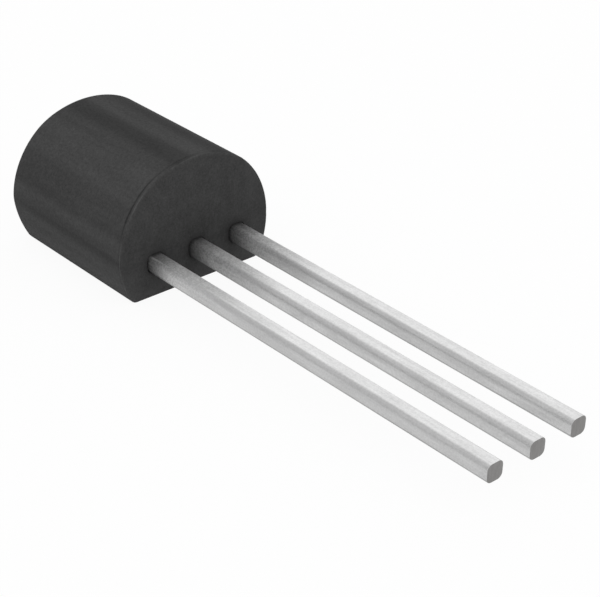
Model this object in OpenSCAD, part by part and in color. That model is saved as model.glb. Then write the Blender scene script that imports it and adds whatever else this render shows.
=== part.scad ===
// TO-92 transistor: a D-shaped moulded body on three in-line leads, with the
// lead frame, die and bond wires that the moulding seals in.
//
// Frame: the origin is where the middle lead leaves the body, on the lead's own
// axis. +X runs along the leads to their tips, +Y along the lead row, +Z from
// the flat side to the round back. The part lies on its flat side.

/* [Body] */
// Length of the body, from the lead end to the far end
body_l = 4.8; // [4.4:0.01:5.3]
// Radius of the round back
back_r = 2.28; // [2.25:0.01:2.5]
// Height above the leads' plane of the round back's axis and the parting line
axis_h = 0.25; // [0.15:0.01:0.4]
// How far the crown of the back lies inside that round
crown_drop = 0.07; // [0.04:0.01:0.1]
// How much larger the crown's own radius is
crown_extra = 0.42; // [0.3:0.01:0.8]
// Depth of the flat side below the leads' plane
flat_h = 0.91; // [0.8:0.01:0.93]
// Rounding of the flat side's two long corners
corner_r = 0.2; // [0.18:0.01:0.25]
// Rounding of the rim at the lead end
rim_r = 0.06; // [0.04:0.01:0.12]
// Mould draft of the far end, in degrees
end_draft = 4; // [0:0.5:7]

/* [Gate scar] */
// Width of the scar where the moulding was broken off its runner
gate_w = 1; // [0.6:0.1:1.6]
// Height of the scar, half of it on each side of the parting line
gate_h = 0.3; // [0.2:0.05:0.5]
// How far the scar stands out of the far end
gate_t = 0.04; // [0.02:0.01:0.08]

/* [Leads] */
// Distance between neighbouring leads
pitch = 1.27; // [1.2:0.01:1.35]
// Width of a lead
lead_w = 0.46; // [0.4:0.01:0.55]
// Thickness of a lead, and of the sheet it is stamped from
lead_t = 0.46; // [0.38:0.01:0.5]
// Rounding of a lead's long edges, under the solder coat
lead_r = 0.14; // [0.05:0.01:0.18]
// Length of the leads outside the body
lead_l = 11.3; // [5:0.05:14.5]

/* [Lead frame] */
// Length of the bare necks between the lead end and the wide heads
neck_l = 1.1; // [0.8:0.05:1.3]
// Width of the paddle that carries the die
paddle_w = 1.5; // [1.3:0.05:1.6]
// Length of the paddle, without its shoulders
paddle_l = 1.9; // [1.6:0.05:2.2]
// Width of a bond post at the head of an outer lead
post_w = 0.85; // [0.7:0.05:0.9]
// Length of a bond post, without its shoulder
post_l = 0.8; // [0.6:0.05:1.2]
// Gap between the paddle and each post
post_gap = 0.24; // [0.2:0.01:0.26]
// Radius of the hole through which the epoxy grips the paddle
lock_r = 0.25; // [0.15:0.05:0.35]
// Radius of the notches by which the epoxy grips the necks
notch_r = 0.1; // [0.05:0.01:0.12]

/* [Die] */
// Side of the square die
die_w = 0.5; // [0.3:0.05:0.7]
// Thickness of the die
die_t = 0.2; // [0.1:0.01:0.3]
// Thickness of the layer that bonds the die to the paddle
bond_t = 0.03; // [0.02:0.01:0.06]
// How far the bonding layer shows round the die
bond_lip = 0.04; // [0.02:0.01:0.1]

/* [Bond wires] */
// Diameter of a bond wire
wire_d = 0.05; // [0.03:0.01:0.08]
// Height of a wire's loop above the straight line between its feet
loop_h = 0.3; // [0.2:0.01:0.5]
// Length of the flattened foot at each end of a wire
foot_l = 0.14; // [0.12:0.01:0.18]
// Width of a foot
foot_w = 0.09; // [0.08:0.01:0.12]
// Thickness of a foot
foot_t = 0.02; // [0.01:0.01:0.03]

/* [Hidden] */
$fn = 64;

// Which side of the middle lead each outer lead lies on
emitter_side = -1;
base_side = 1;

// Clear of the body on every side, for what is cut away or cut to
clear = 1;

// The crown's top and its centre, above the leads' plane
crown_h = axis_h + back_r - crown_drop;
crown_r = back_r + crown_extra;
crown_z = crown_h - crown_r;

// The round back runs on below its axis and down both sides to the flat side's
// two corners. A corner's round crosses the back at this small angle.
corner_a = 12;
corner_z = corner_r - flat_h;
// How far the round's centre lies from the back's axis, and from the middle
corner_d = sqrt(pow(back_r, 2) + pow(corner_r, 2) - 2 * back_r * corner_r * cos(corner_a));
corner_y = sqrt(pow(corner_d, 2) - pow(axis_h - corner_z, 2));
// The section is drawn out past the round back, which then cuts it off
top_z = crown_h + clear;
out_y = corner_y * (back_r + clear) / corner_d;
out_z = axis_h - (axis_h - corner_z) * (back_r + clear) / corner_d;

// The far end leans in by end_draft above and below the parting line
far_lean = top_z * tan(end_draft);
// The gate scar is rooted this deep in the far end
gate_root = 0.2;

// Lead frame, measured back from the lead end: necks, shoulders at 45 degrees,
// then the paddle and the two posts beside it
shoulder_l = (paddle_w - lead_w) / 2;
head_x = -neck_l - shoulder_l;
post_y = paddle_w / 2 + post_gap + post_w / 2;
notch_x = -neck_l / 2;
// The grip hole leaves a bridge as wide as its own radius behind it
lock_x = head_x - paddle_l + 2 * lock_r;

// Die stack, upward from the paddle and level with the middle of the posts
sheet_top = lead_t / 2;
die_x = head_x - post_l / 2;
die_base = sheet_top + bond_t;
die_top = die_base + die_t;
// The two bond pads share the die's width evenly
pad_y = die_w / 4;

// A bond wire's loop is an arc from its pad at the origin to its post
wire_span = post_y - pad_y;
post_z = sheet_top - die_top;
chord = norm([wire_span, post_z]);
chord_a = atan2(post_z, wire_span);
loop_r = (pow(chord / 2, 2) + pow(loop_h, 2)) / (2 * loop_h);
half_a = 2 * atan(2 * loop_h / chord);
loop_x = wire_span / 2 + (loop_r - loop_h) * sin(chord_a);
loop_z = post_z / 2 - (loop_r - loop_h) * cos(chord_a);
// The arc runs on past both feet by this angle, to be cut off flush below them
over_a = 90 * wire_d / loop_r;

// Sets a shape drawn across the leads (x to +Y, y to +Z) running along +X
module along_x(length) {
    rotate([90, 0, 90]) linear_extrude(length) children();
}

// ---------- body ----------

// The D without its round back: flat bottom, rounded corners and crown
module body_section() {
    intersection() {
        translate([0, crown_z]) circle(crown_r, $fn = 180);
        union() {
            polygon([
                [-out_y, top_z], [-out_y, out_z],
                [-corner_y, corner_z], [-corner_y, -flat_h],
                [corner_y, -flat_h], [corner_y, corner_z],
                [out_y, out_z], [out_y, top_z]
            ]);
            for (side = [-1, 1])
                translate([side * corner_y, corner_z]) circle(corner_r);
        }
    }
}

// The round back and its rounded rim, turned about the back's axis
module back_barrel() {
    translate([0, 0, axis_h]) rotate([0, -90, 0]) rotate_extrude($fn = 180) {
        square([back_r - rim_r, body_l]);
        translate([0, rim_r]) square([back_r, body_l]);
        translate([back_r - rim_r, rim_r]) circle(rim_r);
    }
}

// Everything between the lead end and the two leaning faces of the far end
module end_slab() {
    translate([0, 0, axis_h]) rotate([90, 0, 0])
        linear_extrude(2 * (back_r + clear), center = true) polygon([
            [0, -top_z], [0, top_z],
            [far_lean - body_l, top_z], [-body_l, 0], [far_lean - body_l, -top_z]
        ]);
}

module gate_scar() {
    translate([-body_l - gate_t, -gate_w / 2, axis_h - gate_h / 2])
        cube([gate_t + gate_root, gate_w, gate_h]);
}

module body() {
    color("#3a3a3c") difference() {
        union() {
            intersection() {
                translate([-body_l, 0, 0]) along_x(body_l) body_section();
                back_barrel();
                end_slab();
            }
            gate_scar();
        }
        emitter_lead();
        collector_lead();
        base_lead();
        die_bond();
        die();
        emitter_wire();
        base_wire();
    }
}

// ---------- leads ----------

// A lead's section: a square with rounded corners
module lead_section() {
    square([lead_w - 2 * lead_r, lead_t], center = true);
    square([lead_w, lead_t - 2 * lead_r], center = true);
    for (y = [-1, 1], z = [-1, 1])
        translate([y * (lead_w / 2 - lead_r), z * (lead_t / 2 - lead_r)]) circle(lead_r);
}

// Sheet stamped to the outline given, in the leads' plane
module stamped() {
    translate([0, 0, -lead_t / 2]) linear_extrude(lead_t) children();
}

// The straight leg outside the body, from its lead end to the cut tip
module leg() {
    along_x(lead_l) lead_section();
}

// The neck inside the body, with a grip notch in each edge
module neck_outline() {
    difference() {
        translate([-neck_l, -lead_w / 2]) square([neck_l, lead_w]);
        for (side = [-1, 1])
            translate([notch_x, side * lead_w / 2]) circle(notch_r);
    }
}

// The collector's head: shoulders that widen to the paddle, with its grip hole
module paddle_outline() {
    difference() {
        polygon([
            [-neck_l, -lead_w / 2], [-neck_l, lead_w / 2],
            [head_x, paddle_w / 2], [head_x - paddle_l, paddle_w / 2],
            [head_x - paddle_l, -paddle_w / 2], [head_x, -paddle_w / 2]
        ]);
        translate([lock_x, 0]) circle(lock_r);
    }
}

// An outer lead's head: a shoulder that leads out to the bond post.
// head_y is the post's middle, measured from the lead's own axis.
module post_outline(head_y) {
    polygon([
        [-neck_l, -lead_w / 2], [-neck_l, lead_w / 2],
        [head_x, head_y + post_w / 2], [head_x - post_l, head_y + post_w / 2],
        [head_x - post_l, head_y - post_w / 2], [head_x, head_y - post_w / 2]
    ]);
}

module collector_lead() {
    color("#c9cbcd") {
        leg();
        stamped() {
            neck_outline();
            paddle_outline();
        }
    }
}

module outer_lead(side) {
    translate([0, side * pitch, 0]) {
        leg();
        stamped() {
            neck_outline();
            post_outline(side * (post_y - pitch));
        }
    }
}

module emitter_lead() {
    color("#c9cbcd") outer_lead(emitter_side);
}

module base_lead() {
    color("#c9cbcd") outer_lead(base_side);
}

// ---------- die ----------

// A square plate centred on the die's place, standing on height z
module die_plate(width, thickness, z) {
    translate([die_x - width / 2, -width / 2, z]) cube([width, width, thickness]);
}

module die_bond() {
    color("#9a9da1") die_plate(die_w + 2 * bond_lip, bond_t, sheet_top);
}

module die() {
    color("#55585f") die_plate(die_w, die_t, die_base);
}

// ---------- bond wires ----------

// The part of a wire's upright plane that lies above the pad and above the post
module above_seats() {
    rotate([90, 0, 0]) linear_extrude(4 * wire_d, center = true)
        polygon([
            [-foot_l, 0], [wire_span / 2, 0], [wire_span / 2, post_z],
            [wire_span + foot_l, post_z], [wire_span + foot_l, 2 * loop_h],
            [-foot_l, 2 * loop_h]
        ]);
}

module foot() {
    translate([-foot_l / 2, -foot_w / 2, 0]) cube([foot_l, foot_w, foot_t]);
}

// A wire in its own upright plane, with its pad at the origin and its post
// towards +X: the loop between two flattened feet
module wire_path() {
    intersection() {
        translate([loop_x, 0, loop_z])
            rotate([90, 0, 0]) rotate([0, 0, 90 + chord_a - half_a - over_a])
                rotate_extrude(angle = 2 * (half_a + over_a))
                    translate([loop_r, 0]) circle(d = wire_d);
        above_seats();
    }
    foot();
    translate([wire_span, 0, post_z]) foot();
}

module wire(side) {
    translate([die_x, side * pad_y, die_top]) rotate([0, 0, side * 90]) wire_path();
}

module emitter_wire() {
    color("#e0b84a") wire(emitter_side);
}

module base_wire() {
    color("#e0b84a") wire(base_side);
}

body();
emitter_lead();
collector_lead();
base_lead();
die();
die_bond();
emitter_wire();
base_wire();
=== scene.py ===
# %% [markdown]
# # A transistor in its moulded TO-92 case
# The real part is a D-shaped block of black epoxy with three tinned leads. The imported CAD
# model is the fixed frame here: it gives every size and place, and what is made in Blender
# sits on it without any fitting. So the first step is to load it and to note its box.

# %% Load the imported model
import math

import bmesh
import bpy
from mathutils import Matrix, Vector


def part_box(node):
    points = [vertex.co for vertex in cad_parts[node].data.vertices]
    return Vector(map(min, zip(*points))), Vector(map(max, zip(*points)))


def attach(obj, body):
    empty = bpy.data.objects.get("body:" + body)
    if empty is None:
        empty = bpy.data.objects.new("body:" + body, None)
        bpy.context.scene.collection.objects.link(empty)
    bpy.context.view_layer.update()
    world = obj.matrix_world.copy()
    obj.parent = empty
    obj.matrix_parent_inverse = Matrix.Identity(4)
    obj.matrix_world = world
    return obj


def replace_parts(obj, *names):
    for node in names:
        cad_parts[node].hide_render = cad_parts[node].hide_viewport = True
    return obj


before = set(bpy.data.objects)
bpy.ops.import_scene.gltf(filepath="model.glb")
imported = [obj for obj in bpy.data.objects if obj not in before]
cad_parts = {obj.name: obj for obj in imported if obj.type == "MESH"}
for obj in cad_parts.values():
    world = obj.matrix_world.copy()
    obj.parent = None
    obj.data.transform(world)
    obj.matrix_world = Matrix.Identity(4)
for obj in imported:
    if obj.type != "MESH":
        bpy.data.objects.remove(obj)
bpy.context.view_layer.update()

MM = 0.001

# %% [markdown]
# ## Sizes
# Sizes that are typed in would have to be changed along with the CAD model. So most of them
# are read from its nodes: the case gives its length, width and two heights, and the leads
# give their thickness and length. A few driving dimensions can't be read from a box, such as
# the leads' pitch and the radius of their edges, and are named here.

# %% Sizes from the frame
case_low, case_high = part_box("body")
lead_low, lead_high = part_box("collector_lead")
LEAD_PITCH = 1.27 * MM
LEAD_CORNER = 0.14 * MM
lead_width = lead_high.z - lead_low.z
lead_tip = lead_high.x
half_width = case_high.y
crown_top = case_high.z
flat_depth = -case_low.z
print(f"lead {lead_width / MM:.2f} mm thick, {lead_tip / MM:.2f} mm long outside the case")

# %% [markdown]
# ## Writing node trees
# The shapes that follow a rule and every finish here are node trees. They could be drawn by
# hand in the node editor, but in a script they can be read, changed and built again. A tree
# is easiest to read when each step is one line, so this small helper adds a node, sets it,
# and feeds its sockets from numbers or from earlier steps.

# %% A short way to write node trees
class Recipe:
    """Adds steps to a node tree, fed with values, earlier nodes or sockets of theirs."""

    def __init__(self, tree):
        self.tree = tree

    def feed(self, socket, value):
        if isinstance(value, bpy.types.Node):
            value = next(out for out in value.outputs if out.enabled)
        if isinstance(value, bpy.types.NodeSocket):
            self.tree.links.new(value, socket)
        else:
            socket.default_value = value

    def add(self, kind, feeds=(), **settings):
        node = self.tree.nodes.new(kind)
        for name, setting in settings.items():
            setattr(node, name, setting)
        for name, value in dict(feeds).items():
            self.feed(node.inputs[name], value)
        return node

    def live(self, kind, values, **settings):
        """A node whose sockets share names, fed in order through those that are in use."""
        node = self.add(kind, **settings)
        for socket, value in zip([s for s in node.inputs if s.enabled], values):
            self.feed(socket, value)
        return next(out for out in node.outputs if out.enabled)

    def math(self, operation, *values, clamp=False):
        return self.live("ShaderNodeMath", values, operation=operation, use_clamp=clamp)

    def total(self, *values):
        return self.in_turn("ADD", values)

    def less(self, *values):
        """The first value less the others."""
        return self.in_turn("SUBTRACT", values)

    def product(self, *values):
        return self.in_turn("MULTIPLY", values)

    def in_turn(self, operation, values):
        result = values[0]
        for value in values[1:]:
            result = self.math(operation, result, value)
        return result

    def scaled(self, vector, factor):
        return self.live("ShaderNodeVectorMath", (vector, factor), operation="SCALE")

    def axes(self, vector):
        """The vector's X, Y and Z."""
        return self.add("ShaderNodeSeparateXYZ", {"Vector": vector}).outputs

    def mix(self, amount, first, second, kind="RGBA"):
        return self.live("ShaderNodeMix", (amount, first, second), data_type=kind)

    def ramp(self, value, low, high, to_low=0.0, to_high=1.0, shape="SMOOTHSTEP"):
        """Turns low to high into to_low to to_high, and holds the ends."""
        return self.add("ShaderNodeMapRange", {
            "Value": value, "From Min": low, "From Max": high, "To Min": to_low, "To Max": to_high,
        }, interpolation_type=shape).outputs["Result"]


def grey(level):
    return (level, level, level, 1.0)


print("node trees are written through Recipe")

# %% [markdown]
# ## Camera
# The camera looks down at the part from between its lead end and its left side. The lens is
# long, but it stands only 40 mm off, so the leads still spread towards it. A constraint could
# aim it, but its slight roll is easier to give in numbers: its matrix is made of three
# directions, to the right, up and away from the part.

# %% Camera
CAMERA_AZIMUTH = math.radians(48.244)
CAMERA_ELEVATION = math.radians(29.835)
CAMERA_ROLL = math.radians(1.253)
CAMERA_DISTANCE = 40.104 * MM
CAMERA_AIM = Vector((3.7840, 0.0840, 0.1823)) * MM
LENS_MM, SENSOR_MM = 103.202, 36.0
SEEN_FROM, SEEN_TO = 1 * MM, 2000 * MM

away = Vector((
    math.sin(CAMERA_AZIMUTH) * math.cos(CAMERA_ELEVATION),
    -math.cos(CAMERA_AZIMUTH) * math.cos(CAMERA_ELEVATION),
    math.sin(CAMERA_ELEVATION),
))
level_right = Vector((math.cos(CAMERA_AZIMUTH), math.sin(CAMERA_AZIMUTH), 0))
level_up = away.cross(level_right)
right = level_right * math.cos(CAMERA_ROLL) + level_up * math.sin(CAMERA_ROLL)
up = away.cross(right)
camera = bpy.data.objects.new("camera", bpy.data.cameras.new("camera"))
camera.matrix_world = Matrix.Translation(CAMERA_AIM + away * CAMERA_DISTANCE) @ Matrix(
    (right, up, away)).transposed().to_4x4()
camera.data.lens, camera.data.sensor_width = LENS_MM, SENSOR_MM
camera.data.clip_start, camera.data.clip_end = SEEN_FROM, SEEN_TO
bpy.context.scene.collection.objects.link(camera)
bpy.context.scene.camera = camera
bpy.context.scene.view_settings.view_transform = "Standard"
print("camera at", [round(v / MM, 2) for v in camera.location], "mm")

# %% [markdown]
# ## Helpers for pieces
# Each piece has to be one closed mesh at the origin. A Geometry Nodes modifier could stay on
# it, but then the piece couldn't be measured here. So the modifier's inputs are set by their
# identifiers, its result is turned into a plain mesh at once, and the piece is measured,
# because an open edge or an inside-out shell is easy to miss.

# %% Helpers for pieces
def measure(piece):
    """Prints how many faces a piece has, its open edges, and the volume that it encloses."""
    shape = bmesh.new()
    shape.from_mesh(piece.data)
    loose = sum(len(edge.link_faces) != 2 for edge in shape.edges)
    print(f"{piece.name}: {len(shape.faces)} faces, {loose} open edges, "
          f"{shape.calc_volume(signed=True) / MM ** 3:.3f} mm3")
    shape.free()


def make_object(name, mesh):
    piece = bpy.data.objects.new(name, mesh)
    bpy.context.scene.collection.objects.link(piece)
    return piece


def new_group(name, sizes, **sockets):
    """A geometry tree with a geometry input, inputs named by sizes, and one geometry output."""
    group = bpy.data.node_groups.new(name, "GeometryNodeTree")
    group.interface.new_socket("Geometry", in_out="INPUT", socket_type="NodeSocketGeometry")
    for label in sizes:
        group.interface.new_socket(label, in_out="INPUT", socket_type="NodeSocketFloat")
    for label, kind in sockets.items():
        group.interface.new_socket(label, in_out="INPUT", socket_type=kind)
    group.interface.new_socket("Geometry", in_out="OUTPUT", socket_type="NodeSocketGeometry")
    recipe = Recipe(group)
    return group, recipe, recipe.add("NodeGroupInput").outputs


def run_group(piece, group, values):
    """Runs the tree on the piece with those input values, and keeps the result as its mesh."""
    modifier = piece.modifiers.new(group.name, "NODES")
    modifier.node_group = group
    for item in group.interface.items_tree:
        if item.in_out == "INPUT" and item.name in values:
            modifier[item.identifier] = values[item.name]
    shaped = piece.evaluated_get(bpy.context.evaluated_depsgraph_get())
    mesh = bpy.data.meshes.new_from_object(shaped)
    mesh.name = piece.name
    piece.modifiers.clear()
    piece.data = mesh


print("helpers are ready")

# %% [markdown]
# ## The case's section
# The case has the same section all along. Its round back is widest at the parting line,
# where the mould's halves meet, and runs on below it to two rounded corners and the flat
# side. Its crown is a little flatter than the rest, and the parting line is a fine groove.
# A drawn outline could be extruded, but the rims at the two ends differ, and each changes
# its radius with height. So the section is written as a rule, point by point, which can
# also give it drawn in by the amounts that a rim needs.

# %% The case's section
AXIS_HEIGHT = 0.25 * MM
CROWN_FLATTER = 0.42 * MM
CROWN_RADIUS = half_width + CROWN_FLATTER
CROWN_BLEND = 0.04 * MM
FLAT_CORNER = 0.2 * MM
LEAST_CORNER = 0.05 * MM
PARTING_WIDTH, PARTING_DEPTH = 0.08 * MM, 0.004 * MM
LINE_REACH = 1.5 * PARTING_WIDTH
FLAT_STEPS, CORNER_STEPS, SIDE_STEPS, LINE_STEPS, BACK_STEPS = 15, 12, 14, 16, 56


def back_reach(angle):
    """Distance from the back's axis to its surface, where two arcs meet in a soft blend."""
    centre = crown_top - AXIS_HEIGHT - CROWN_RADIUS
    crown = centre * math.sin(angle) + math.sqrt(
        CROWN_RADIUS ** 2 - (centre * math.cos(angle)) ** 2)
    overlap = max(1 - abs(crown - half_width) / CROWN_BLEND, 0)
    reach = min(half_width, crown) - CROWN_BLEND / 4 * overlap ** 2
    off_line = abs(half_width * math.sin(angle)) / PARTING_WIDTH
    return reach - PARTING_DEPTH * max(1 - off_line, 0)


def steps(start, end, count):
    """Evenly spaced values from start up to, but not on, end."""
    return [start + (end - start) * k / count for k in range(count)]


def case_section(at_crown=0, at_line=0, at_flat=0):
    """Points (y, z) of half the section, drawn in by those amounts at its three heights."""
    depth = flat_depth - at_flat
    corner = max(FLAT_CORNER - at_flat, LEAST_CORNER)
    corner_z = corner - depth
    corner_y = math.sqrt((half_width - at_flat - corner) ** 2 - (AXIS_HEIGHT - corner_z) ** 2)
    low = math.atan2(corner_z - AXIS_HEIGHT, corner_y)
    line = LINE_REACH / half_width
    points = [(y, -depth) for y in steps(0, corner_y, FLAT_STEPS)]
    points += [(corner_y + corner * math.cos(angle), corner_z + corner * math.sin(angle))
               for angle in steps(-math.pi / 2, low, CORNER_STEPS)]
    for angle in (steps(low, -line, SIDE_STEPS) + steps(-line, line, LINE_STEPS)
                  + steps(line, math.pi / 2, BACK_STEPS)):
        above = max(math.sin(angle), 0)
        below = max(math.sin(angle) / math.sin(low), 0)
        reach = back_reach(angle) - at_line
        reach -= above * (at_crown - at_line) + below * (at_flat - at_line)
        points.append((reach * math.cos(angle), AXIS_HEIGHT + reach * math.sin(angle)))
    return points + [(0, crown_top - at_crown)]


def whole(half):
    return half + [(-y, z) for y, z in half[-2:0:-1]]


section = whole(case_section())
print(len(section), "points round the section")

# %% Section as an edge loop that knows both its rims
# Each rim's radius at the crown, at the parting line and at the flat side
NEAR_RIM = 0.06 * MM, 0.06 * MM, 0.024 * MM
FAR_RIM = 0.08 * MM, 0.14 * MM, 0.29 * MM


def rim_radius(z, at_crown, at_line, at_flat):
    """The rim's radius at height z."""
    if z > AXIS_HEIGHT:
        return at_line + (at_crown - at_line) * (z - AXIS_HEIGHT) / (crown_top - AXIS_HEIGHT)
    return at_line + (at_flat - at_line) * (AXIS_HEIGHT - z) / (AXIS_HEIGHT + flat_depth)


loop = bpy.data.meshes.new("case_section")
loop.from_pydata([(0, y, z) for y, z in section], [
    (k, (k + 1) % len(section)) for k in range(len(section))], [])
for end in ("near", "far"):
    loop.attributes.new(end + "_shift", "FLOAT_VECTOR", "POINT")
    loop.attributes.new(end + "_rim", "FLOAT", "POINT")
for end, rim in (("near", NEAR_RIM), ("far", FAR_RIM)):
    shift, radius = loop.attributes[end + "_shift"], loop.attributes[end + "_rim"]
    for k, ((y, z), (in_y, in_z)) in enumerate(zip(section, whole(case_section(*rim)))):
        shift.data[k].vector = (0, in_y - y, in_z - z)
        radius.data[k].value = rim_radius(z, *rim)
    print(end, "rim", [round(v / MM, 3) for v in rim], "mm at crown, parting line and flat")

# %% [markdown]
# ## Finishes
# A finish could be an image wrapped round its piece, but that needs unwrapping, and from
# close by its pixels show. So each is a procedural material that reads Object coordinates,
# turned into millimetres so that the numbers in it are real sizes. Grain and streaks thus
# have the same size on every piece, and stay where they are when the part is turned.

# %% Start of every finish
def new_finish(name, **constants):
    """A material, its recipe, its shader and the place on the piece in millimetres."""
    material = bpy.data.materials.new(name)
    material.use_nodes = True
    do = Recipe(material.node_tree)
    shader = material.node_tree.nodes["Principled BSDF"]
    for label, value in constants.items():
        shader.inputs[label.replace("_", " ")].default_value = value
    place = do.scaled(do.add("ShaderNodeTexCoord").outputs["Object"], 1 / MM)
    return material, do, shader, place


def facing_of(do):
    """X, Y and Z of the direction in which the surface looks."""
    return do.axes(do.add("ShaderNodeTexCoord").outputs["Normal"])


def stretched(do, place, x, y, z):
    """The place with each axis scaled, so that a round noise becomes a streak."""
    return do.live("ShaderNodeVectorMath", (place, (x, y, z)), operation="MULTIPLY")


def noise(do, place, per_mm, layers, strength):
    """A noise of 0 to 1: its waves per millimetre, its finer layers, how strong each one is."""
    return do.add("ShaderNodeTexNoise", {
        "Vector": place, "Scale": per_mm, "Detail": layers, "Roughness": strength,
    }).outputs["Fac"]


def bump(do, height, depth_mm, below=None):
    """A normal that follows a height of 0 to 1 over that depth."""
    feeds = {"Height": height, "Distance": depth_mm * MM}
    if below is not None:
        feeds["Normal"] = below
    return do.add("ShaderNodeBump", feeds).outputs["Normal"]


print("finishes read millimetres from the piece")

# %% [markdown]
# The case is black epoxy filled with fine silica. The spark-eroded mould leaves it matt with
# a fine grain. Over the crown and the left side run bands of painted light and shade, which
# stand in for the reflections of lights on the back. The parting line is a soft dark stripe
# on both sides, its own tone with the painted shade of its groove. The rim at the lead end
# has spots of painted highlight, with a dark line beside it. Low down, the sides and the lead
# end are lighter with painted light from the floor. Round the leads the end is darker with
# painted shade, and the torn face of the gate is pale. All this could be painted on an
# unwrapped mesh. Here each mark is a stripe or a ramp over the grain, because it then has its
# place in millimetres or degrees and can be moved or left out by itself.

# %% Stripes over a piece
def stripe(do, value, centre, half, soft):
    """1 at the centre, fading to 0 at half its width, over soft to both sides of there."""
    off = do.math("ABSOLUTE", do.less(value, centre))
    return do.ramp(off, half - soft, half + soft, 1, 0)


def stripes(do, value, rows):
    """The sum of several stripes, each of its own strength."""
    total = 0
    for centre, half, soft, strength in rows:
        total = do.total(total, do.product(strength, stripe(do, value, centre, half, soft)))
    return total


def back_angle(do, point):
    """Degrees round the back's axis, from the left side up over the crown."""
    up = do.less(point["Z"], AXIS_HEIGHT / MM)
    left = do.product(point["Y"], -1)
    return do.product(180 / math.pi, do.math("ARCTAN2", up, left))


print("angles are measured round an axis", round(AXIS_HEIGHT / MM, 2), "mm above the leads'")

# %% Bands along the case
# Bands of painted light and shade: each one's centre, half width and softness in degrees
# round the back's axis, and how much it darkens the case. Below 0 it lightens it.
PAINTED_BANDS = ((25, 11, 3, 0.10), (10, 5, 6, -0.09), (42, 3, 5, -0.08), (59, 3, 4, -0.06),
              (68, 5, 4, 0.11), (80.5, 7.5, 5, 0.31), (113, 7, 7, 0.28))
# The parting line's stripe: its own darker tone, and the painted shade of its groove
PARTING_STRIPE, PARTING_TONE_AND_SHADE = (0, 0.08, 0.08), 0.15
# The sides are lighter low down, with painted light from the floor: two heights from the
# axis, and by how much at each
FLOOR_LIGHT_SIDES = -1.1, -0.1, 0.5, 0
# Ramps over the way the surface looks, down and along, that leave out the flat and the ends
NOT_FLAT, NOT_ENDS = (-0.8, -0.3), (0.2, 0.6, 1, 0)


def painted_back_light_and_shade(do, point, angle):
    """How dark the painted bands, parting stripe and floor light make the case, but not its ends.
    """
    height = do.less(point["Z"], AXIS_HEIGHT / MM)
    parting = do.product(PARTING_TONE_AND_SHADE, stripe(do, height, *PARTING_STRIPE))
    facing = facing_of(do)
    # Painted light from the floor on the low sides
    painted_floor_light = do.product(do.ramp(height, *FLOOR_LIGHT_SIDES, shape="LINEAR"),
                         do.ramp(facing["Z"], *NOT_FLAT))
    bands = do.less(do.total(stripes(do, angle, PAINTED_BANDS), parting), painted_floor_light)
    return do.product(bands, do.ramp(do.math("ABSOLUTE", facing["X"]), *NOT_ENDS))


print(len(PAINTED_BANDS), "bands and the parting line run along the case")

# %% Marks at both ends of the case
# Painted shade round the leads: two distances from the nearest lead, and how much darker
# the end is at each
LEAD_SHADE_CLOSE, LEAD_SHADE_WIDE = (0, 0.2, 0.15, 0), (0, 1.2, 0.22, 0.12)
# Painted light from the floor: two heights, and how much lighter the end is at each
FLOOR_LIGHT_END = -0.9, 0.1, 0.4, 0
# Where these marks fade in along the case, and the painted highlight beside a lead
LEAD_END, HIGHLIGHT_OFF_LEADS = (-0.1, 0), (0.3, 0.35)
# The dark line beside the rim and the painted highlight on the rim are stripes, with others
# round it where they are stronger
RIM_DARK_LINE, RIM_HIGHLIGHT_LINE = (-0.13, 0.028, 0.02), (-0.04, 0.014, 0.014)
RIM_DARK_SPOTS, RIM_DARK_LEAST = ((40, 18, 10, 0.3),), 0.12
RIM_HIGHLIGHT_SPOTS, RIM_HIGHLIGHT_LEAST = ((0, 6, 6, 0.45), (40, 8, 9, 0.42), (89, 4, 5, 0.22)), 0.06
# At the left side the painted highlight lies a little farther from the end
SIDE_HIGHLIGHT, SIDE_HIGHLIGHT_BACK = (0, 10, 8), 0.05
# How far the gate stands proud of the case, how deep it is torn, and how much lighter it is
GATE_PROUD, GATE_TEAR, GATE_LIGHTER = 0.04 * MM, 0.02 * MM, 0.25


def off_leads(do, point):
    """Distance in millimetres from the outline of the nearest lead, seen along the leads."""
    pitch, half, corner = LEAD_PITCH / MM, lead_width / 2 / MM, LEAD_CORNER / MM
    across = do.math("PINGPONG", do.math("MINIMUM", do.math("ABSOLUTE", point["Y"]), 1.5 * pitch),
                     pitch / 2)
    sides = [do.math("MAXIMUM", do.less(side, half - corner), 0)
             for side in (across, do.math("ABSOLUTE", point["Z"]))]
    squares = [do.product(side, side) for side in sides]
    return do.less(do.math("SQRT", do.total(*squares)), corner)


def end_marks(do, point, lead_off):
    """The lead end's painted shade near the leads, less its painted light from the floor low down.
    """
    # Painted shade round the leads
    lead_shade = do.total(do.ramp(lead_off, *LEAD_SHADE_CLOSE), do.ramp(lead_off, *LEAD_SHADE_WIDE))
    # Painted light from the floor low on the end
    painted_floor_light = do.ramp(point["Z"], *FLOOR_LIGHT_END, shape="LINEAR")
    return do.product(do.less(lead_shade, painted_floor_light), do.ramp(point["X"], *LEAD_END))


def dark_rim_line(do, point, angle):
    """How dark the line beside the rim is, stronger in some places round it."""
    strength = do.total(stripes(do, angle, RIM_DARK_SPOTS), RIM_DARK_LEAST)
    return do.product(stripe(do, point["X"], *RIM_DARK_LINE), strength)


def painted_rim_highlight(do, point, angle, lead_off):
    """A painted highlight in spots on the rim at the lead end."""
    x = do.total(point["X"], do.product(stripe(do, angle, *SIDE_HIGHLIGHT), SIDE_HIGHLIGHT_BACK))
    line = stripe(do, x, *RIM_HIGHLIGHT_LINE)
    strength = do.total(stripes(do, angle, RIM_HIGHLIGHT_SPOTS), RIM_HIGHLIGHT_LEAST)
    return do.product(line, strength, do.ramp(lead_off, *HIGHLIGHT_OFF_LEADS))


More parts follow.
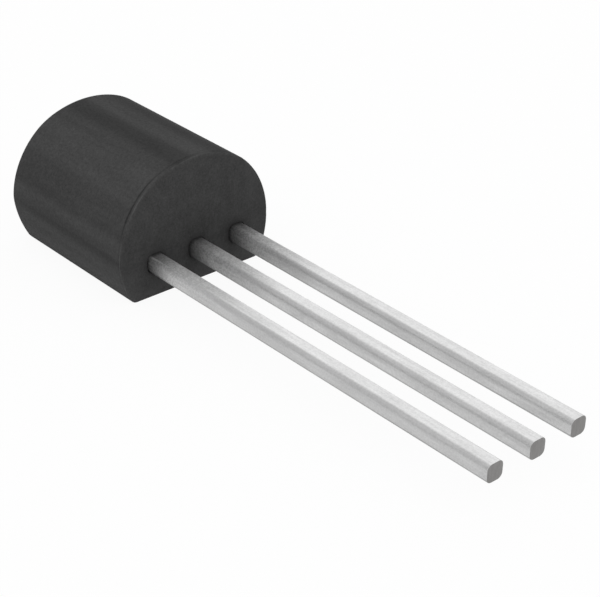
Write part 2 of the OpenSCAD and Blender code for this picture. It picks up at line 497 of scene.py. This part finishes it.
def torn_gate_face(do, point):
    """1 on the face left by the gate, which stands proud of the far end."""
    torn, skin = (case_low.x + GATE_TEAR) / MM, (case_low.x + GATE_PROUD) / MM
    return do.ramp(point["X"], torn, skin, 1, 0)


# The rim's spots are a painted highlight
print("the lead end has", len(RIM_HIGHLIGHT_SPOTS), "rubbed spots")

# %% Black epoxy
EPOXY_DARK, EPOXY_LIGHT = grey(0.0484), grey(0.0765)
# Almost no sheen: with these greys a level of 0.5, like real epoxy's, makes the case too pale
EPOXY_GLOSS = 0.001
# Noises: waves per millimetre, finer layers, and how strong each one is
GRAIN, SPECK, STREAK, CLOUD = (22, 2, 0.6), (11, 2, 0.6), (2.6, 3, 0.5), (0.9, 2, 0.5)
GRAIN_SHARE, SPECK_SHARE, STREAK_SHARE, CLOUD_SHARE = 0.28, 0.32, 0.3, 0.1
STREAK_STRETCH = 0.08, 1, 1
GRAIN_DEPTH_MM = 0.0025
# Between which tones the colour and the roughness go from their first value to the second
EPOXY_TONE, EPOXY_ROUGH = (0.35, 0.65), (0.42, 0.52)


def make_epoxy():
    material, do, shader, place = new_finish("black_epoxy", Specular_IOR_Level=EPOXY_GLOSS)
    point = do.axes(place)
    grain = noise(do, place, *GRAIN)
    streak = noise(do, stretched(do, place, *STREAK_STRETCH), *STREAK)
    tone = do.total(
        do.product(grain, GRAIN_SHARE), do.product(noise(do, place, *SPECK), SPECK_SHARE),
        do.product(streak, STREAK_SHARE), do.product(noise(do, place, *CLOUD), CLOUD_SHARE))
    body = do.mix(do.ramp(tone, *EPOXY_TONE, shape="LINEAR"), EPOXY_DARK, EPOXY_LIGHT)
    angle, lead_off = back_angle(do, point), off_leads(do, point)
    # Over the grain go the painted light and shade of the back and the end, the dark rim line, the
    # pale gate and the painted highlight on the rim
    dark = do.total(painted_back_light_and_shade(do, point, angle), end_marks(do, point, lead_off),
                    dark_rim_line(do, point, angle))
    pale_gate = do.product(GATE_LIGHTER, torn_gate_face(do, point))
    level = do.total(do.less(1, dark), pale_gate, painted_rim_highlight(do, point, angle, lead_off))
    do.feed(shader.inputs["Base Color"], do.scaled(body, level))
    do.feed(shader.inputs["Roughness"], do.ramp(tone, *EPOXY_TONE, *EPOXY_ROUGH))
    do.feed(shader.inputs["Normal"], bump(do, grain, GRAIN_DEPTH_MM))
    return material


epoxy = make_epoxy()
print("black_epoxy has", len(epoxy.node_tree.nodes), "nodes")

# %% [markdown]
# The leads are stamped from rolled sheet of copper alloy and dipped in tin. The coat is
# satin, with soft streaks along the lead, as the rolling of the sheet may leave them. The
# sheared sides are darker with painted shade, and a dark line of painted shade runs along
# their lower edge. Next to the case the coat is dull and mottled, and painted darker there
# for the dark case's reflection and shade, most of all in its first tenth of a millimetre
# and on the middle lead. The tips were sheared off after the dip, so the cut face shows the
# darker, rougher metal inside, set a little darker still as painted shade. A single metal
# colour would be simpler, but it makes leads look like plain steel wire. So the colour of the
# coat is multiplied by one factor for each mark, and each can be tuned by itself.

# %% Marks on the coat of tin
# The coat is dull next to the case, and painted darker there, standing in for the dark
# case's reflection and shade. Part of it clears up by the first place, the rest by the second
DULL_AND_SHADE_NEAR, DULL_AND_SHADE_FAR = 0.88, 3.3
# How much clears up by the first, and the brightness at the case, on the top and on a side
TOP_SHADE_CLEARING, SIDE_SHADE_CLEARING = (0.32, 0.17), (0.6, 0.25)
# Two places along the lead and the brightness at each, for the outermost sides, which get
# little painted shade, and for the first bit, which gets more painted shade
OUTER_SHADE_CLEARING, EXIT_SHADE = (0, 1.5, 0.95, 0.98), (0, 0.1, 0.65, 1)
# A dark line of painted shade along the lower edge: its height, half width and softness, and how
# much it darkens
UNDER_EDGE_SHADE_LINE, UNDER_EDGE_SHADE = (-0.17, 0.045, 0.03), 0.32
# The mottle's noise, how much it darkens or lightens, and how its strength goes down
MOTTLE, MOTTLE_RANGE, MOTTLE_ALONG = (20, 3, 0.7), (0.35, 0.65, -0.2, 0.2), (0, DULL_AND_SHADE_FAR, 1, 0.3)
# The middle lead gets a little painted shade up to here, measured across the leads and along
# them
MIDDLE_SHADE_ACROSS, MIDDLE_SHADE_ALONG = (0.5, 0.7, 0.09, 0), (1, 2, 1, 0)


def shade_clearing(do, point, near_share, start):
    """The coat's painted shade: its brightness from start at the case, up to 1 where it is clear.
    """
    near = do.ramp(point["X"], 0, DULL_AND_SHADE_NEAR, 0, near_share, shape="LINEAR")
    far = do.ramp(point["X"], 0, DULL_AND_SHADE_FAR, start, 1 - near_share, shape="LINEAR")
    return do.total(near, far)


def coat_factors(do, place, point, side, outer):
    """The coat's colour factors, one for each kind of mark, all painted shade but the mottle."""
    # Painted shade along the lower edge
    yield do.less(1, do.product(UNDER_EDGE_SHADE, stripe(do, point["Z"], *UNDER_EDGE_SHADE_LINE)))
    # Painted shade next to the case, less of it on the outermost sides
    inner = do.mix(side, shade_clearing(do, point, *TOP_SHADE_CLEARING),
                   shade_clearing(do, point, *SIDE_SHADE_CLEARING), kind="FLOAT")
    yield do.mix(outer, inner, do.ramp(point["X"], *OUTER_SHADE_CLEARING), kind="FLOAT")
    mottle = do.ramp(noise(do, place, *MOTTLE), *MOTTLE_RANGE)
    yield do.total(1, do.product(mottle, do.ramp(point["X"], *MOTTLE_ALONG)))
    # More painted shade in the first tenth of a millimetre
    yield do.ramp(point["X"], *EXIT_SHADE)
    # Painted shade on the middle lead's root
    middle = do.ramp(do.math("ABSOLUTE", point["Y"]), *MIDDLE_SHADE_ACROSS)
    yield do.less(1, do.product(middle, do.ramp(point["X"], *MIDDLE_SHADE_ALONG)))


print(f"the coat is clear {DULL_AND_SHADE_FAR} mm from the case")

# %% Tinned lead
# The sides are mixed towards a grey of painted shade
TIN_DARK, TIN_LIGHT, SIDE_SHADE_GREY = grey(0.70), grey(0.845), grey(0.36)
# Noises, given like those of the epoxy
TIN_STREAK, TIN_BROAD, TIN_GRAIN = (16, 3, 0.6), (3, 2, 0.5), (30, 2, 0.5)
STREAK_ALONG, BROAD_ALONG = (0.05, 1, 1), (0.3, 1, 1)
TIN_STREAK_SHARE, TIN_BROAD_SHARE = 0.6, 0.4
TIN_GRAIN_DEPTH_MM, TIN_STREAK_DEPTH_MM = 0.0006, 0.0015
METAL_TONE, TIN_ROUGH = (0.3, 0.7), (0.56, 0.46)
# Two places along the lead, and how much rougher its dull coat is at each
DULL_ROUGHER = 0, DULL_AND_SHADE_FAR, 0.4, 0
# Between these slopes a side comes to count as sheared, the right side later by so much
SHEARED_SLOPE, RIGHT_LATER = (0.12, 0.58), 0.35
# The share of painted shade at two slopes of a side, and how far out the outermost sides are
SIDE_SHADE_SHARE, OUTER_SIDES = (0.7, 1, 0.60, 0.36), (1.3, 1.45)


def make_tin():
    material, do, shader, place = new_finish("tinned_copper", Metallic=1.0)
    point = do.axes(place)
    streak = noise(do, stretched(do, place, *STREAK_ALONG), *TIN_STREAK)
    broad = noise(do, stretched(do, place, *BROAD_ALONG), *TIN_BROAD)
    tone = do.total(do.product(streak, TIN_STREAK_SHARE), do.product(broad, TIN_BROAD_SHARE))
    coat = do.mix(do.ramp(tone, *METAL_TONE, shape="LINEAR"), TIN_DARK, TIN_LIGHT)
    facing = facing_of(do)["Y"]
    slope = do.math("MAXIMUM", do.product(facing, -1), do.less(facing, RIGHT_LATER))
    side = do.ramp(slope, *SHEARED_SLOPE)
    outer = do.product(side, do.ramp(do.math("ABSOLUTE", point["Y"]), *OUTER_SIDES))
    # Painted shade on the sides
    side_shade = do.ramp(do.math("ABSOLUTE", facing), *SIDE_SHADE_SHARE)
    colour = do.mix(do.product(side, side_shade), coat, SIDE_SHADE_GREY)
    for factor in coat_factors(do, place, point, side, outer):
        colour = do.scaled(colour, factor)
    do.feed(shader.inputs["Base Color"], colour)
    dull = do.product(do.less(1, outer), do.ramp(point["X"], *DULL_ROUGHER, shape="LINEAR"))
    do.feed(shader.inputs["Roughness"], do.total(dull, do.ramp(tone, *METAL_TONE, *TIN_ROUGH)))
    relief = bump(do, streak, TIN_STREAK_DEPTH_MM)
    do.feed(shader.inputs["Normal"], bump(
        do, noise(do, place, *TIN_GRAIN), TIN_GRAIN_DEPTH_MM, relief))
    return material


tin = make_tin()
print("tinned_copper has", len(tin.node_tree.nodes), "nodes")

# %% Sheared tip
# The cut face's greys: the darker metal inside, set darker still as painted shade
SHEARED_DARK, SHEARED_LIGHT = (0.24, 0.235, 0.23, 1), (0.34, 0.335, 0.33, 1)
DRAG, DRAG_STRETCH, PITS = (14, 3, 0.6), (1, 1, 0.2), (24, 3, 0.6)
DRAG_SHARE, PITS_SHARE = 0.5, 0.5
SHEARED_ROUGH, SHEARED_DEPTH_MM = (0.5, 0.65), 0.006


def make_sheared():
    material, do, shader, place = new_finish("sheared_tip", Metallic=1.0)
    drag = noise(do, stretched(do, place, *DRAG_STRETCH), *DRAG)
    pits = noise(do, place, *PITS)
    tone = do.total(do.product(drag, DRAG_SHARE), do.product(pits, PITS_SHARE))
    colour = do.mix(do.ramp(tone, *METAL_TONE, shape="LINEAR"), SHEARED_DARK, SHEARED_LIGHT)
    do.feed(shader.inputs["Base Color"], colour)
    do.feed(shader.inputs["Roughness"], do.ramp(pits, *METAL_TONE, *SHEARED_ROUGH))
    do.feed(shader.inputs["Normal"], bump(do, tone, SHEARED_DEPTH_MM))
    return material


sheared = make_sheared()
print("sheared_tip has", len(sheared.node_tree.nodes), "nodes")

# %% [markdown]
# Inside the case, out of sight, lie the die, the silver-filled epoxy that holds it, and two
# gold bond wires. They could be modelled anew, but nobody sees them while the case is whole,
# and their CAD shapes are right as they are. So they only get their finishes.

# %% Finishes of the sealed parts
SEALED_LAYERS = 3, 0.6


def simple_finish(name, dark, light, per_mm, rough, depth_mm, metallic=0.0):
    """A finish whose colour, gloss and relief follow one noise."""
    material, do, shader, place = new_finish(name, Metallic=metallic)
    tone = do.ramp(noise(do, place, per_mm, *SEALED_LAYERS), *METAL_TONE)
    do.feed(shader.inputs["Base Color"], do.mix(tone, dark, light))
    do.feed(shader.inputs["Roughness"], do.ramp(tone, 0, 1, *rough))
    do.feed(shader.inputs["Normal"], bump(do, tone, depth_mm))
    return material


sealed = {
    "die": simple_finish(
        "polished_silicon", dark=(0.07, 0.08, 0.10, 1), light=(0.11, 0.12, 0.15, 1),
        per_mm=12, rough=(0.12, 0.2), depth_mm=0.0004),
    "die_bond": simple_finish(
        "silver_filled_epoxy", dark=grey(0.32), light=grey(0.55),
        per_mm=40, rough=(0.35, 0.55), depth_mm=0.003, metallic=0.6),
    "emitter_wire": simple_finish(
        "bond_gold", dark=(0.80, 0.52, 0.16, 1), light=(0.90, 0.62, 0.24, 1),
        per_mm=30, rough=(0.18, 0.28), depth_mm=0.0006, metallic=1.0),
}
sealed["base_wire"] = sealed["emitter_wire"]
for node_name, material in sealed.items():
    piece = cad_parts[node_name]
    for mesh_slot in piece.material_slots:
        mesh_slot.material = material
    print(node_name, "gets", material.name, "in", len(piece.material_slots), "slot")

# %% [markdown]
# ## The moulded case
# The case is one block of epoxy, moulded round the leads between two halves of a mould. It
# could be a prism with bevelled edges, but its rims change their radius with height, which a
# plain bevel doesn't do. It does follow one rule from end to end, so Geometry Nodes make it.
# A grid has one row for each point of the section and one column for each place along the
# case: out over the lead end, round its rim, along the body, round the far rim and in to the
# middle of the far end, whose two halves lean in from the parting line so that the case
# leaves its mould. Each grid point looks up its section point and is set to its place.

# %% Rule of the moulded shell
CAP_STEPS, RIM_STEPS, BODY_STEPS = 10, 8, 24
COLUMNS = 2 * CAP_STEPS + 2 * RIM_STEPS + BODY_STEPS + 1
MERGE_WITHIN = 1e-4 * MM


def moulded_shell(do, given):
    """Steps that set a grid round the section loop and along the case, and close it."""
    around = do.add("GeometryNodeAttributeDomainSize", {
        "Geometry": given["Geometry"]}).outputs["Point Count"]
    grid = do.add("GeometryNodeMeshGrid", {
        "Vertices X": do.total(around, 1), "Vertices Y": COLUMNS}).outputs["Mesh"]
    index = do.add("GeometryNodeInputIndex")
    row = do.math("MODULO", do.math("FLOOR", do.math("DIVIDE", index, COLUMNS)), around)
    column = do.math("MODULO", index, COLUMNS)

    def stage(first, count):
        """0 to 1 over that many columns."""
        return do.math("DIVIDE", do.less(column, first), count, clamp=True)

    def look_up(value, kind):
        return do.live("GeometryNodeSampleIndex", (given["Geometry"], value, row),
                       data_type=kind, domain="POINT")

    def named(name, kind):
        return look_up(do.add("GeometryNodeInputNamedAttribute", {"Name": name},
                              data_type=kind), kind)

    def quarter(function, part):
        return do.math(function, do.product(part, math.pi / 2))

    cap_out = stage(0, CAP_STEPS)
    near_turn = stage(CAP_STEPS, RIM_STEPS)
    along = stage(CAP_STEPS + RIM_STEPS, BODY_STEPS)
    far_turn = stage(CAP_STEPS + RIM_STEPS + BODY_STEPS, RIM_STEPS)
    cap_in = stage(CAP_STEPS + 2 * RIM_STEPS + BODY_STEPS, CAP_STEPS)

    # Both rims are quarter turns: the section is drawn in while it comes out of the end
    near_rim, far_rim = named("near_rim", "FLOAT"), named("far_rim", "FLOAT")
    place = look_up(do.add("GeometryNodeInputPosition"), "FLOAT_VECTOR")
    turns = ("near", quarter("SINE", near_turn)), ("far", quarter("COSINE", far_turn))
    for end, turned in turns:
        drawn_in = do.scaled(named(end + "_shift", "FLOAT_VECTOR"), do.less(1, turned))
        place = do.live("ShaderNodeVectorMath", (place, drawn_in), operation="ADD")

    # Both ends close on the middle, in steps that are finest next to the rim
    left = do.less(1, cap_out)
    spread = do.less(1, do.product(left, left), do.product(cap_in, cap_in))
    point = do.axes(place)
    height = do.product(spread, do.less(point["Z"], given["Parting height"]))
    lean = do.product(do.math("ABSOLUTE", height), do.math("TANGENT", given["Draft"]))
    near_x = do.product(near_rim, do.less(quarter("COSINE", near_turn), 1))
    far_x = do.total(do.less(lean, given["Length"]),
                     do.product(far_rim, do.less(1, quarter("SINE", far_turn))))
    shaped = do.add("GeometryNodeSetPosition", {
        "Geometry": grid, "Position": do.add("ShaderNodeCombineXYZ", {
            "X": do.mix(along, near_x, far_x, kind="FLOAT"),
            "Y": do.product(point["Y"], spread),
            "Z": do.total(height, given["Parting height"])})})
    closed = do.add("GeometryNodeMergeByDistance", {"Geometry": shaped, "Distance": MERGE_WITHIN})
    return do.add("GeometryNodeFlipFaces", {"Mesh": closed})


print(f"each section point carries {COLUMNS} columns")

# %% [markdown]
# Where the leads come out, the cooling epoxy shrinks away and leaves a narrow moat round each.
# At the far end the runner, through which the epoxy came in, was broken off and left a torn
# gate. A dark ring and a bump could suggest both, but not from close by. So rounded plugs on
# the leads' pitch are cut out of the shell, and a small block with a torn face is joined on.

# %% Moats round the leads
LEAD_COUNT = 3
MOAT_WIDTH, MOAT_DEPTH, MOAT_CORNER_STEPS = 0.025 * MM, 0.04 * MM, 8


def rounded_bar(do, width, corner, start, end):
    """A bar along X with a rounded square section and closed ends."""
    profile = do.add("GeometryNodeFilletCurve", {
        "Curve": do.add("GeometryNodeCurvePrimitiveQuadrilateral", {
            "Width": width, "Height": width}),
        "Count": MOAT_CORNER_STEPS, "Radius": corner}, mode="POLY")
    path = do.add("GeometryNodeCurvePrimitiveLine", {
        "Start": do.add("ShaderNodeCombineXYZ", {"X": start}),
        "End": do.add("ShaderNodeCombineXYZ", {"X": end})})
    return do.add("GeometryNodeCurveToMesh", {
        "Curve": path, "Profile Curve": profile, "Fill Caps": True})


def moats(do, given):
    """The plugs, one on each lead's axis."""
    plug = rounded_bar(do, given["Moat width"], given["Moat corner"],
                       do.product(given["Moat depth"], -1), given["Pitch"])
    row = do.add("GeometryNodeMeshLine", {
        "Count": LEAD_COUNT, "Start Location": do.add("ShaderNodeCombineXYZ", {
            "Y": do.product(given["Pitch"], -1)}),
        "Offset": do.add("ShaderNodeCombineXYZ", {"Y": given["Pitch"]})})
    return do.add("GeometryNodeRealizeInstances", {"Geometry": do.add(
        "GeometryNodeInstanceOnPoints", {"Points": row, "Instance": plug})})


print(f"moats are {MOAT_WIDTH / MM:.3f} mm wide and {MOAT_DEPTH / MM:.2f} mm deep")

# %% Torn gate
GATE_WIDTH, GATE_HEIGHT, GATE_ROOT = 1 * MM, 0.3 * MM, 0.2 * MM
GATE_VERTICES = 2, 61, 21
# The tear's noise: waves per metre, finer layers, and how strong each one is
TEAR_WAVES, TEAR_LAYERS, TEAR_STRENGTH = 13 / MM, 3.0, 0.5
# Its values between which the face goes back, and the one that moves nothing sideways
TEAR_RANGE, TEAR_MIDDLE = (0.35, 0.65), 0.5


def torn_gate(do, given):
    """A finely divided block at the far end, whose outer face is torn by a fixed noise."""
    along, across, high = GATE_VERTICES
    block = do.add("GeometryNodeMeshCube", {
        "Size": (GATE_ROOT, GATE_WIDTH, GATE_HEIGHT),
        "Vertices X": along, "Vertices Y": across, "Vertices Z": high}).outputs["Mesh"]
    spot = do.axes(do.add("GeometryNodeInputPosition"))
    waves = do.add("ShaderNodeTexNoise", {
        "Scale": TEAR_WAVES, "Detail": TEAR_LAYERS, "Roughness": TEAR_STRENGTH})
    tear = do.add("FunctionNodeSeparateColor", {"Color": waves.outputs["Color"]}).outputs
    ragged = do.add("ShaderNodeCombineXYZ", {
        "X": do.product(do.ramp(tear["Red"], *TEAR_RANGE), GATE_TEAR),
        "Y": do.product(do.less(tear["Green"], TEAR_MIDDLE), GATE_TEAR),
        "Z": do.product(do.less(tear["Blue"], TEAR_MIDDLE), GATE_TEAR)})
    torn = do.add("GeometryNodeSetPosition", {
        "Geometry": block, "Offset": ragged, "Selection": do.math("LESS_THAN", spot["X"], 0)})
    return do.add("GeometryNodeTransform", {
        "Geometry": torn, "Translation": do.add("ShaderNodeCombineXYZ", {
            "X": do.total(given["Gate face"], GATE_ROOT / 2),
            "Z": given["Parting height"]})})


print(f"the gate is {GATE_WIDTH / MM:.1f} mm wide and {GATE_HEIGHT / MM:.1f} mm high")

# %% [markdown]
# The skin of the case is smooth, but its gate, moats and ends have real edges. Smooth shading
# all over would blur those, and flat shading would show facets everywhere else. So all is
# shaded smooth apart from the edges sharper than 30 degrees and the faces that look straight
# along the part. The leads are shaded in the same way later.

# %% Shading
FLAT_SHADED_FROM = 0.99
SHARP_EDGE = math.radians(30)


def shade(do, shape):
    """Smooth all over, apart from sharp edges and the faces that look straight along X."""
    smooth = do.add("GeometryNodeSetShadeSmooth", {"Geometry": shape})
    facing = do.axes(do.add("GeometryNodeInputNormal"))
    straight = do.math("GREATER_THAN", do.math("ABSOLUTE", facing["X"]), FLAT_SHADED_FROM)
    flat = do.add("GeometryNodeSetShadeSmooth", {
        "Geometry": smooth, "Selection": straight, "Shade Smooth": False})
    angle = do.add("GeometryNodeInputMeshEdgeAngle").outputs["Unsigned Angle"]
    return do.add("GeometryNodeSetShadeSmooth", {
        "Geometry": flat, "Selection": do.math("GREATER_THAN", angle, SHARP_EDGE),
        "Shade Smooth": False}, domain="EDGE")


print("edges are sharp from", round(math.degrees(SHARP_EDGE)), "degrees")

# %% The case is made
DRAFT = math.radians(4)


def write_case_tree():
    group, do, given = new_group(
        "moulded_case", [
            "Length", "Draft", "Parting height", "Gate face", "Pitch", "Moat width",
            "Moat corner", "Moat depth"], Finish="NodeSocketMaterial")
    shell = moulded_shell(do, given)
    gated = do.add("GeometryNodeMeshBoolean", operation="UNION", solver="MANIFOLD")
    for part in (shell, torn_gate(do, given)):
        do.tree.links.new(part.outputs[0], gated.inputs["Mesh 2"])
    cut = do.add("GeometryNodeMeshBoolean", {
        "Mesh 1": gated.outputs["Mesh"], "Mesh 2": moats(do, given)},
        operation="DIFFERENCE", solver="MANIFOLD")
    shaded = do.add("GeometryNodeRealizeInstances", {"Geometry": shade(do, cut)})
    finished = do.add("GeometryNodeSetMaterial", {
        "Geometry": shaded, "Material": given["Finish"]})
    do.add("NodeGroupOutput", {"Geometry": finished})
    return group


case = make_object("moulded_case", loop)
run_group(case, write_case_tree(), {
    "Length": -case_low.x - GATE_PROUD, "Draft": DRAFT,
    "Parting height": AXIS_HEIGHT, "Gate face": case_low.x, "Pitch": LEAD_PITCH,
    "Moat width": lead_width + 2 * MOAT_WIDTH,
    "Moat corner": LEAD_CORNER + MOAT_WIDTH, "Moat depth": MOAT_DEPTH, "Finish": epoxy})
measure(case)
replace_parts(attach(case, "root"), "body")

# %% [markdown]
# ## The leads
# All three leads are the same outside the case: a straight bar with a rounded square section,
# sheared off square at the tip with slightly rolled edges. A scaled cube with a bevel comes
# close, but its long edges and the fine roll at its tip need different widths. A profile
# swept along a path gives both, and one tree sweeps it for all three. Inside the case each
# lead has its own stamped head, which no one sees, so a merged copy of the CAD node gives
# it, cut off just inside the case.

# %% Tree for a lead
LEG_STEPS, TIP_STEPS, LEAD_CORNER_STEPS = 48, 6, 10
# The faces this near the tip that look along the lead at least this much are the cut
CUT_WITHIN_TIP, CUT_FACING = 0.02 * MM, 0.45


def write_lead_tree():
    group, do, given = new_group(
        "stamped_lead", ["Root", "Tip", "Side", "Width", "Corner", "Rolled edge"],
        Coat="NodeSocketMaterial", Cut="NodeSocketMaterial")
    line = do.add("GeometryNodeCurvePrimitiveLine", {"End": (1, 0, 0)})
    path = do.add("GeometryNodeResampleCurve", {
        "Curve": line, "Count": LEG_STEPS + TIP_STEPS + 1}, mode="COUNT")
    index = do.add("GeometryNodeInputIndex")
    along = do.math("DIVIDE", index, LEG_STEPS, clamp=True)
    turn = do.product(math.pi / 2, do.math(
        "DIVIDE", do.less(index, LEG_STEPS), TIP_STEPS, clamp=True))
    straight_end = do.less(given["Tip"], given["Rolled edge"])
    x = do.total(do.mix(along, given["Root"], straight_end, kind="FLOAT"),
                 do.product(given["Rolled edge"], do.math("SINE", turn)))
    placed = do.add("GeometryNodeSetPosition", {
        "Geometry": path, "Position": do.add("ShaderNodeCombineXYZ", {
            "X": x, "Y": given["Side"]})})
    drawn_in = do.product(do.less(1, do.math("COSINE", turn)), do.math(
        "DIVIDE", given["Rolled edge"], do.math("DIVIDE", given["Width"], 2)))
    profile = do.add("GeometryNodeFilletCurve", {
        "Curve": do.add("GeometryNodeCurvePrimitiveQuadrilateral", {
            "Width": given["Width"], "Height": given["Width"]}),
        "Count": LEAD_CORNER_STEPS, "Radius": given["Corner"]}, mode="POLY")
    leg = do.add("GeometryNodeCurveToMesh", {
        "Curve": placed, "Profile Curve": profile, "Fill Caps": True,
        "Scale": do.less(1, drawn_in)})
    joined = do.add("GeometryNodeMeshBoolean", operation="UNION", solver="MANIFOLD")
    for part in (leg.outputs[0], given["Geometry"]):
        do.tree.links.new(part, joined.inputs["Mesh 2"])
    coated = do.add("GeometryNodeSetMaterial", {
        "Geometry": do.add("GeometryNodeRealizeInstances", {"Geometry": shade(do, joined)}),
        "Material": given["Coat"]})
    spot = do.axes(do.add("GeometryNodeInputPosition"))
    facing = do.axes(do.add("GeometryNodeInputNormal"))
    at_tip = do.math("GREATER_THAN", spot["X"], do.less(given["Tip"], CUT_WITHIN_TIP))
    cut = do.product(at_tip, do.math("GREATER_THAN", facing["X"], CUT_FACING))
    finished = do.add("GeometryNodeSetMaterial", {
        "Geometry": coated, "Selection": cut, "Material": given["Cut"]})
    do.add("NodeGroupOutput", {"Geometry": finished})
    return group


lead_tree = write_lead_tree()
print("stamped_lead has", len(lead_tree.nodes), "nodes")

# %% Heads inside the case, and the three leads
HEAD_END = -0.07 * MM
ON_CUT_PLANE = 1e-5 * MM
ROLLED_EDGE = 0.012 * MM


def stamped_head(node_name):
    """A merged copy of the CAD lead, closed off just inside the case."""
    shape = bmesh.new()
    shape.from_mesh(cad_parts[node_name].data)
    bmesh.ops.remove_doubles(shape, verts=shape.verts, dist=MERGE_WITHIN)
    cut = bmesh.ops.bisect_plane(
        shape, geom=shape.verts[:] + shape.edges[:] + shape.faces[:], dist=ON_CUT_PLANE,
        plane_co=(HEAD_END, 0, 0), plane_no=(1, 0, 0), clear_outer=True)
    rim = [item for item in cut["geom_cut"] if isinstance(item, bmesh.types.BMEdge)]
    bmesh.ops.contextual_create(shape, geom=rim)
    bmesh.ops.recalc_face_normals(shape, faces=shape.faces)
    mesh = bpy.data.meshes.new(node_name + "_head")
    shape.to_mesh(mesh)
    shape.free()
    return mesh


for node_name, side in (("emitter_lead", -1), ("collector_lead", 0), ("base_lead", 1)):
    lead = make_object("tinned_" + node_name, stamped_head(node_name))
    run_group(lead, lead_tree, {
        "Root": HEAD_END, "Tip": lead_tip, "Side": side * LEAD_PITCH, "Width": lead_width,
        "Corner": LEAD_CORNER, "Rolled edge": ROLLED_EDGE, "Coat": tin, "Cut": sheared})
    measure(lead)
    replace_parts(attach(lead, "root"), node_name)

# %% [markdown]
# ## Studio
# The part lies on a pale floor in a white tent, which lights it evenly from all round. Lamps
# would make harder shadows and bright spots on the metal. Even light alone would make the
# leads look flat, though, so a long dark card stands on one side, low down. Their rounded
# corners mirror it between the floor and the tent, and that draws their edges. What the
# camera, metal and gloss see of the floor is lifted towards white. Less than a tenth of that
# is the floor as it is lit, which keeps the part's shadow on it.

# %% Floor
FLOOR_SIZE = 20000 * MM
FLOOR_GAP = 0.005 * MM
FLOOR_HEIGHT = -flat_depth - FLOOR_GAP
FLOOR_GREY, FLOOR_ROUGHNESS = 0.9, 0.9
FLOOR_LIFT = 0.93


def make_sheet(name, corners, finish, level, roughness):
    """A sheet with four corners and an even grey finish."""
    mesh = bpy.data.meshes.new(name)
    mesh.from_pydata(corners, [], [(0, 1, 2, 3)])
    material = bpy.data.materials.new(finish)
    material.use_nodes = True
    shader = material.node_tree.nodes["Principled BSDF"]
    shader.inputs["Base Color"].default_value = grey(level)
    shader.inputs["Roughness"].default_value = roughness
    mesh.materials.append(material)
    return make_object(name, mesh)


def make_floor():
    edge = FLOOR_SIZE / 2
    signs = (-1, -1), (1, -1), (1, 1), (-1, 1)
    corners = [(x * edge, y * edge, FLOOR_HEIGHT) for x, y in signs]
    floor = make_sheet("floor", corners, "pale_floor", FLOOR_GREY, FLOOR_ROUGHNESS)
    tree = floor.active_material.node_tree
    do, shader = Recipe(tree), tree.nodes["Principled BSDF"]
    shader.inputs["Specular IOR Level"].default_value = 0.0
    ray = do.add("ShaderNodeLightPath").outputs
    seen = do.math("MAXIMUM", ray["Is Camera Ray"], do.math(
        "MAXIMUM", ray["Is Glossy Ray"], ray["Is Transmission Ray"]))
    lifted = do.live("ShaderNodeMixShader", (
        do.product(seen, FLOOR_LIFT), shader.outputs["BSDF"],
        do.add("ShaderNodeEmission").outputs["Emission"]))
    do.feed(tree.nodes["Material Output"].inputs["Surface"], lifted)


make_floor()
print("floor at z =", round(FLOOR_HEIGHT / MM, 3), "mm")

# %% Tent and dark card
TENT_LIGHT = 1.0
CARD_DISTANCE, CARD_LENGTH, CARD_HEIGHT = 150 * MM, 900 * MM, 32 * MM
CARD_GREY, CARD_ROUGHNESS = 0.02, 1.0


def make_dark_card():
    """A dark card on edge, out of the camera's sight and in the leads' reflections."""
    low, high, half = FLOOR_HEIGHT, FLOOR_HEIGHT + CARD_HEIGHT, CARD_LENGTH / 2
    outline = (half, low), (-half, low), (-half, high), (half, high)
    corners = [(x, -CARD_DISTANCE, z) for x, z in outline]
    card = make_sheet("dark_card", corners, "dark_card", CARD_GREY, CARD_ROUGHNESS)
    card.visible_camera = False


make_dark_card()
world = bpy.data.worlds.new("white_tent")
world.use_nodes = True
tent = world.node_tree.nodes["Background"].inputs
tent["Color"].default_value, tent["Strength"].default_value = grey(1.0), TENT_LIGHT
bpy.context.scene.world = world
print("the tent is lit at", TENT_LIGHT)
